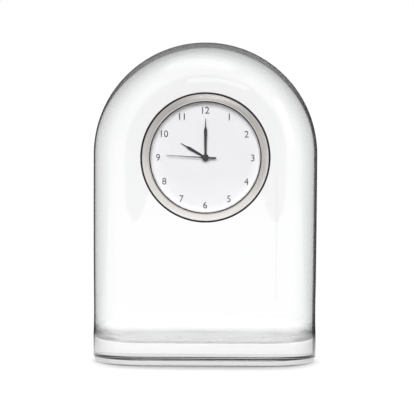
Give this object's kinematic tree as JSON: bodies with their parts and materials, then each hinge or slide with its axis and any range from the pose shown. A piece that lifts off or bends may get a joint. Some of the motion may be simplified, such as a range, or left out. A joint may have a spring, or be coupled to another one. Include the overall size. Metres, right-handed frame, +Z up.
{
  "type": "beehive_shelf_clock",
  "caption": "Quartz shelf clock: hollow clear-glass arch on a thick solid base, with a satin-metal clock insert and a white dial.",
  "frame": {"origin": "middle of the flat face that the vessel stands on", "axes": "+Z up, +X to the right of a viewer who faces the dial, the dial faces -Y"},
  "size_m": [0.116, 0.0601, 0.165],
  "materials": {
    "clear_glass": "clear, polished, blown",
    "crystal_glass": "clear, flat, polished",
    "satin_bezel": "satin nickel plate",
    "black_rubber": "matt",
    "dial_white": "matt white print",
    "black_plastic": "fine matt",
    "hand_paint": "black, semi-matt",
    "wheel_plastic": "natural acetal",
    "arbor_steel": "turned",
    "magnet_grey": "sintered",
    "pipe_brass": "turned",
    "soft_iron": "stamped plate",
    "bobbin_plastic": "moulded",
    "copper_wire": "enamelled winding",
    "board_green": "printed board",
    "contact_nickel": "nickel plate",
    "battery_steel": "plated steel can"
  },
  "bodies": {
    "vessel": {"glass_vessel": "clear_glass"},
    "clock_insert": {"insert_cup": "black_plastic", "grip_band": "black_rubber", "bezel": "satin_bezel", "crystal": "crystal_glass", "crystal_gasket": "black_rubber", "dial": "dial_white", "movement_case": "black_plastic", "movement_cover": "black_plastic", "stator": "soft_iron", "coil_core": "soft_iron", "coil_bobbin": "bobbin_plastic", "coil_winding": "copper_wire", "circuit_board": "board_green", "board_chip": "black_plastic", "quartz_can": "contact_nickel", "negative_contact": "contact_nickel", "positive_contact": "contact_nickel"},
    "seconds_group": {"seconds_wheel": "wheel_plastic", "seconds_arbor": "arbor_steel", "second_hand": "hand_paint"},
    "fifth_group": {"fifth_wheel": "wheel_plastic"},
    "rotor_group": {"rotor_pinion": "wheel_plastic", "rotor_magnet": "magnet_grey"},
    "third_group": {"third_wheel": "wheel_plastic"},
    "centre_group": {"centre_wheel": "wheel_plastic"},
    "minute_group": {"minute_pipe": "pipe_brass", "minute_hand": "hand_paint"},
    "minute_work_group": {"minute_work_wheel": "wheel_plastic"},
    "hour_group": {"hour_wheel": "wheel_plastic", "hour_hand": "hand_paint"},
    "setting_group": {"setting_pinion": "wheel_plastic", "setting_knob": "black_plastic"},
    "battery_group": {"battery_cell": "battery_steel"},
    "hatch_group": {"battery_hatch": "black_plastic"}
  },
  "joints": [
    {"name": "clock_insert_slide", "type": "slide", "parent": "vessel", "child": "clock_insert", "axis": [0, -1, 0], "range_m": [0, 0.045]},
    {"name": "seconds_spin", "type": "hinge", "parent": "clock_insert", "child": "seconds_group", "pos_m": [0, -0.0193, 0.1044], "axis": [0, 1, 0], "continuous": true},
    {"name": "fifth_spin", "type": "hinge", "parent": "clock_insert", "child": "fifth_group", "pos_m": [0.00416, -0.0182, 0.102], "axis": [0, 1, 0], "continuous": true},
    {"name": "rotor_spin", "type": "hinge", "parent": "clock_insert", "child": "rotor_group", "pos_m": [0.0064, -0.0171, 0.09812], "axis": [0, 1, 0], "continuous": true},
    {"name": "third_spin", "type": "hinge", "parent": "clock_insert", "child": "third_group", "pos_m": [-0.00677, -0.0204, 0.10194], "axis": [0, 1, 0], "continuous": true},
    {"name": "centre_spin", "type": "hinge", "parent": "clock_insert", "child": "centre_group", "pos_m": [0, -0.0215, 0.1044], "axis": [0, 1, 0], "continuous": true},
    {"name": "minute_spin", "type": "hinge", "parent": "clock_insert", "child": "minute_group", "pos_m": [0, -0.0226, 0.1044], "axis": [0, 1, 0], "continuous": true},
    {"name": "minute_work_spin", "type": "hinge", "parent": "clock_insert", "child": "minute_work_group", "pos_m": [0.0024, -0.0226, 0.10856], "axis": [0, 1, 0], "continuous": true},
    {"name": "hour_spin", "type": "hinge", "parent": "clock_insert", "child": "hour_group", "pos_m": [0, -0.0237, 0.1044], "axis": [0, 1, 0], "continuous": true},
    {"name": "setting_spin", "type": "hinge", "parent": "clock_insert", "child": "setting_group", "pos_m": [0.00804, -0.0142, 0.11061], "axis": [0, 1, 0], "continuous": true},
    {"name": "hatch_slide", "type": "slide", "parent": "clock_insert", "child": "hatch_group", "axis": [0, 1, 0], "range_m": [0, 0.016]},
    {"name": "battery_slide", "type": "slide", "parent": "clock_insert", "child": "battery_group", "axis": [0, 1, 0], "range_m": [0, 0.0096]}
  ],
  "couplings": [
    {"joint": "fifth_spin", "follows": "seconds_spin", "ratio": -5},
    {"joint": "rotor_spin", "follows": "seconds_spin", "ratio": 30},
    {"joint": "third_spin", "follows": "seconds_spin", "ratio": -0.13333},
    {"joint": "centre_spin", "follows": "seconds_spin", "ratio": 0.016667},
    {"joint": "minute_work_spin", "follows": "minute_spin", "ratio": -0.33333},
    {"joint": "hour_spin", "follows": "minute_spin", "ratio": 0.083333},
    {"joint": "setting_spin", "follows": "minute_spin", "ratio": 0.5},
    {"joint": "battery_slide", "follows": "hatch_slide", "ratio": 0.6}
  ]
}
